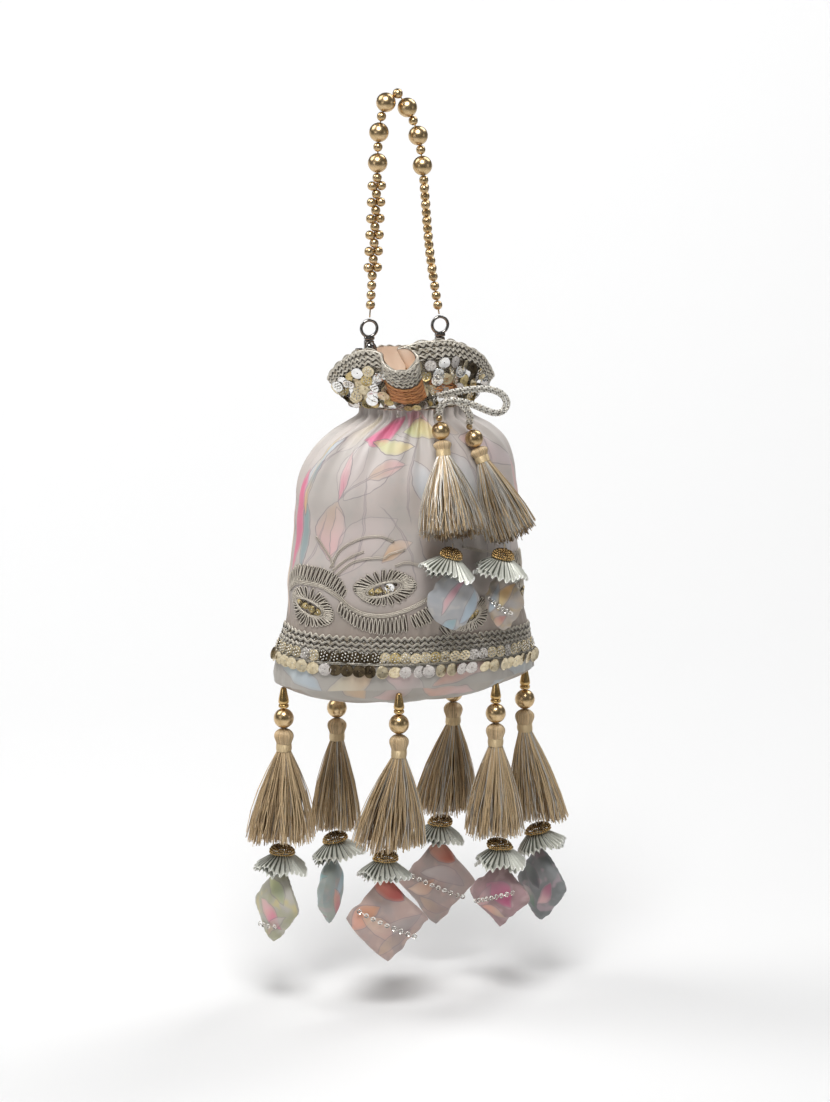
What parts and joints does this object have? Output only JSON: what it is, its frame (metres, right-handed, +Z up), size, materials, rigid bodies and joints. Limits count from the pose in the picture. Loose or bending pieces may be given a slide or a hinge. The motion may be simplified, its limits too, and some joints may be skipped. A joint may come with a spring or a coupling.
{
  "type": "potli bag",
  "caption": "Gathered drawstring evening pouch with a bead handle on snap hooks, sequin trims, a ruffled collar and hanging tassels with padded charms.",
  "frame": {"origin": "inside the top of the bead handle, where a finger or a hook bears; the bag hangs below it", "axes": "+Z up, +X along the bag's width, to the right seen from the front; the front faces -Y"},
  "size_m": [0.2026, 0.1298, 0.5522],
  "materials": {
    "printed_satin": "soft satin with a faint watercolour petal print",
    "peach_satin": "plain peach satin",
    "sequin_trim": "grey-gold braid with round gold and silver sequins",
    "pearl_gold": "matte pearl gold coating",
    "polished_gold": "bright gold plating",
    "nickel": "polished nickel",
    "silver_braid": "braided metallic thread, silver and pale gold",
    "silk_thread": "beige silk and metallic threads",
    "organza_frill": "silver-green pleated organza with a beaded cap",
    "charm_satin": "padded printed satin with a line of small sequins"
  },
  "bodies": {
    "handle": {"bead_strand": "pearl_gold", "swivel_ring_left": "nickel", "swivel_ring_right": "nickel"},
    "bag": {"pouch_front": "printed_satin", "pouch_back": "printed_satin", "collar": "printed_satin", "base_panel": "printed_satin", "lining": "peach_satin", "hem_trim": "sequin_trim", "rim_trim": "sequin_trim", "drawstring_in_casing": "silver_braid", "drawstring_front": "silver_braid", "drawstring_side": "silver_braid", "anchor_ring_left": "nickel", "anchor_ring_right": "nickel", "anchor_tab_left": "peach_satin", "anchor_tab_right": "peach_satin"},
    "hook_left": {"snap_hook_left": "nickel"},
    "lever_left": {"snap_lever_left": "nickel"},
    "hook_right": {"snap_hook_right": "nickel"},
    "lever_right": {"snap_lever_right": "nickel"},
    "strand_left": {"finial_left": "polished_gold", "ball_left": "pearl_gold", "tassel_left": "silk_thread"},
    "charm_body_left": {"frill_left": "organza_frill", "charm_left": "charm_satin"},
    "strand_back_left": {"finial_back_left": "polished_gold", "ball_back_left": "pearl_gold", "tassel_back_left": "silk_thread"},
    "charm_body_back_left": {"frill_back_left": "organza_frill", "charm_back_left": "charm_satin"},
    "strand_front": {"finial_front": "polished_gold", "ball_front": "pearl_gold", "tassel_front": "silk_thread"},
    "charm_body_front": {"frill_front": "organza_frill", "charm_front": "charm_satin"},
    "strand_back_right": {"finial_back_right": "polished_gold", "ball_back_right": "pearl_gold", "tassel_back_right": "silk_thread"},
    "charm_body_back_right": {"frill_back_right": "organza_frill", "charm_back_right": "charm_satin"},
    "strand_front_right": {"finial_front_right": "polished_gold", "ball_front_right": "pearl_gold", "tassel_front_right": "silk_thread"},
    "charm_body_front_right": {"frill_front_right": "organza_frill", "charm_front_right": "charm_satin"},
    "strand_right": {"finial_right": "polished_gold", "ball_right": "pearl_gold", "tassel_right": "silk_thread"},
    "charm_body_right": {"frill_right": "organza_frill", "charm_right": "charm_satin"},
    "pull_front": {"ball_pull_front": "pearl_gold", "tassel_pull_front": "silk_thread"},
    "charm_body_pull_front": {"frill_pull_front": "organza_frill", "charm_pull_front": "charm_satin"},
    "pull_side": {"ball_pull_side": "pearl_gold", "tassel_pull_side": "silk_thread"},
    "charm_body_pull_side": {"frill_pull_side": "organza_frill", "charm_pull_side": "charm_satin"}
  },
  "joints": [
    {"name": "bag_swing", "type": "hinge", "parent": "handle", "child": "bag", "pos_m": [0.0045, -0.0035, -0.1735], "axis": [1, 0, 0], "range_deg": [-60, 60]},
    {"name": "hook_left_swivel", "type": "hinge", "parent": "handle", "child": "hook_left", "pos_m": [-0.019, -0.0035, -0.1545], "axis": [0, 0, 1], "range_deg": [-30, 30]},
    {"name": "lever_left_press", "type": "hinge", "parent": "hook_left", "child": "lever_left", "pos_m": [-0.0229, -0.0035, -0.1585], "axis": [0, -1, 0], "range_deg": [0, 20], "stiffness_Nm_per_rad": 0.02},
    {"name": "hook_right_swivel", "type": "hinge", "parent": "handle", "child": "hook_right", "pos_m": [0.028, -0.0035, -0.1545], "axis": [0, 0, 1], "range_deg": [-30, 30]},
    {"name": "lever_right_press", "type": "hinge", "parent": "hook_right", "child": "lever_right", "pos_m": [0.0241, -0.0035, -0.1585], "axis": [0, -1, 0], "range_deg": [0, 20], "stiffness_Nm_per_rad": 0.02},
    {"name": "strand_left_swing", "type": "hinge", "parent": "bag", "child": "strand_left", "pos_m": [-0.0757, 0, -0.375], "axis": [0, 1, 0], "range_deg": [-4, 60]},
    {"name": "charm_left_swing", "type": "hinge", "parent": "strand_left", "child": "charm_body_left", "pos_m": [-0.0757, 0, -0.478], "axis": [-0.2419, 0.9703, 0], "range_deg": [-15, 15]},
    {"name": "strand_back_left_swing", "type": "hinge", "parent": "bag", "child": "strand_back_left", "pos_m": [-0.02981, 0.03415, -0.38], "axis": [0.9752, 0.2212, 0], "range_deg": [-4, 60]},
    {"name": "charm_back_left_swing", "type": "hinge", "parent": "strand_back_left", "child": "charm_body_back_left", "pos_m": [-0.02981, 0.03415, -0.483], "axis": [0.3907, 0.9205, 0], "range_deg": [-15, 15]},
    {"name": "strand_front_swing", "type": "hinge", "parent": "bag", "child": "strand_front", "pos_m": [-0.01029, -0.03724, -0.375], "axis": [-0.9956, 0.0942, 0], "range_deg": [-4, 60]},
    {"name": "charm_front_swing", "type": "hinge", "parent": "strand_front", "child": "charm_body_front", "pos_m": [-0.01029, -0.03724, -0.478], "axis": [-0.9511, 0.309, 0], "range_deg": [-15, 15]},
    {"name": "strand_back_right_swing", "type": "hinge", "parent": "bag", "child": "strand_back_right", "pos_m": [0.04929, 0.03223, -0.375], "axis": [0.9603, -0.2791, 0], "range_deg": [-4, 60]},
    {"name": "charm_back_right_swing", "type": "hinge", "parent": "strand_back_right", "child": "charm_body_back_right", "pos_m": [0.04929, 0.03223, -0.478], "axis": [0.9781, -0.2079, 0], "range_deg": [-15, 15]},
    {"name": "strand_front_right_swing", "type": "hinge", "parent": "bag", "child": "strand_front_right", "pos_m": [0.05742, -0.02953, -0.375], "axis": [-0.9358, -0.3525, 0], "range_deg": [0, 60]},
    {"name": "charm_front_right_swing", "type": "hinge", "parent": "strand_front_right", "child": "charm_body_front_right", "pos_m": [0.05742, -0.02953, -0.478], "axis": [0.342, -0.9397, 0], "range_deg": [-15, 15]},
    {"name": "strand_right_swing", "type": "hinge", "parent": "bag", "child": "strand_right", "pos_m": [0.0877, 0, -0.375], "axis": [0, -1, 0], "range_deg": [0, 60]},
    {"name": "charm_right_swing", "type": "hinge", "parent": "strand_right", "child": "charm_body_right", "pos_m": [0.0877, 0, -0.478], "axis": [0.2588, -0.9659, 0], "range_deg": [-15, 15]},
    {"name": "pull_front_swing", "type": "hinge", "parent": "bag", "child": "pull_front", "pos_m": [0.0163, -0.037, -0.1986], "axis": [-0.995, -0.0995, 0], "range_deg": [0, 70]},
    {"name": "charm_pull_front_swing", "type": "hinge", "parent": "pull_front", "child": "charm_body_pull_front", "pos_m": [0.0176, -0.061, -0.2775], "axis": [-0.995, -0.0995, 0], "range_deg": [0, 45]},
    {"name": "pull_side_swing", "type": "hinge", "parent": "bag", "child": "pull_side", "pos_m": [0.0379, -0.0315, -0.2062], "axis": [-0.8924, -0.4512, 0], "range_deg": [0, 70]},
    {"name": "charm_pull_side_swing", "type": "hinge", "parent": "pull_side", "child": "charm_body_pull_side", "pos_m": [0.0545, -0.053, -0.282], "axis": [-0.8924, -0.4512, 0], "range_deg": [0, 45]}
  ]
}
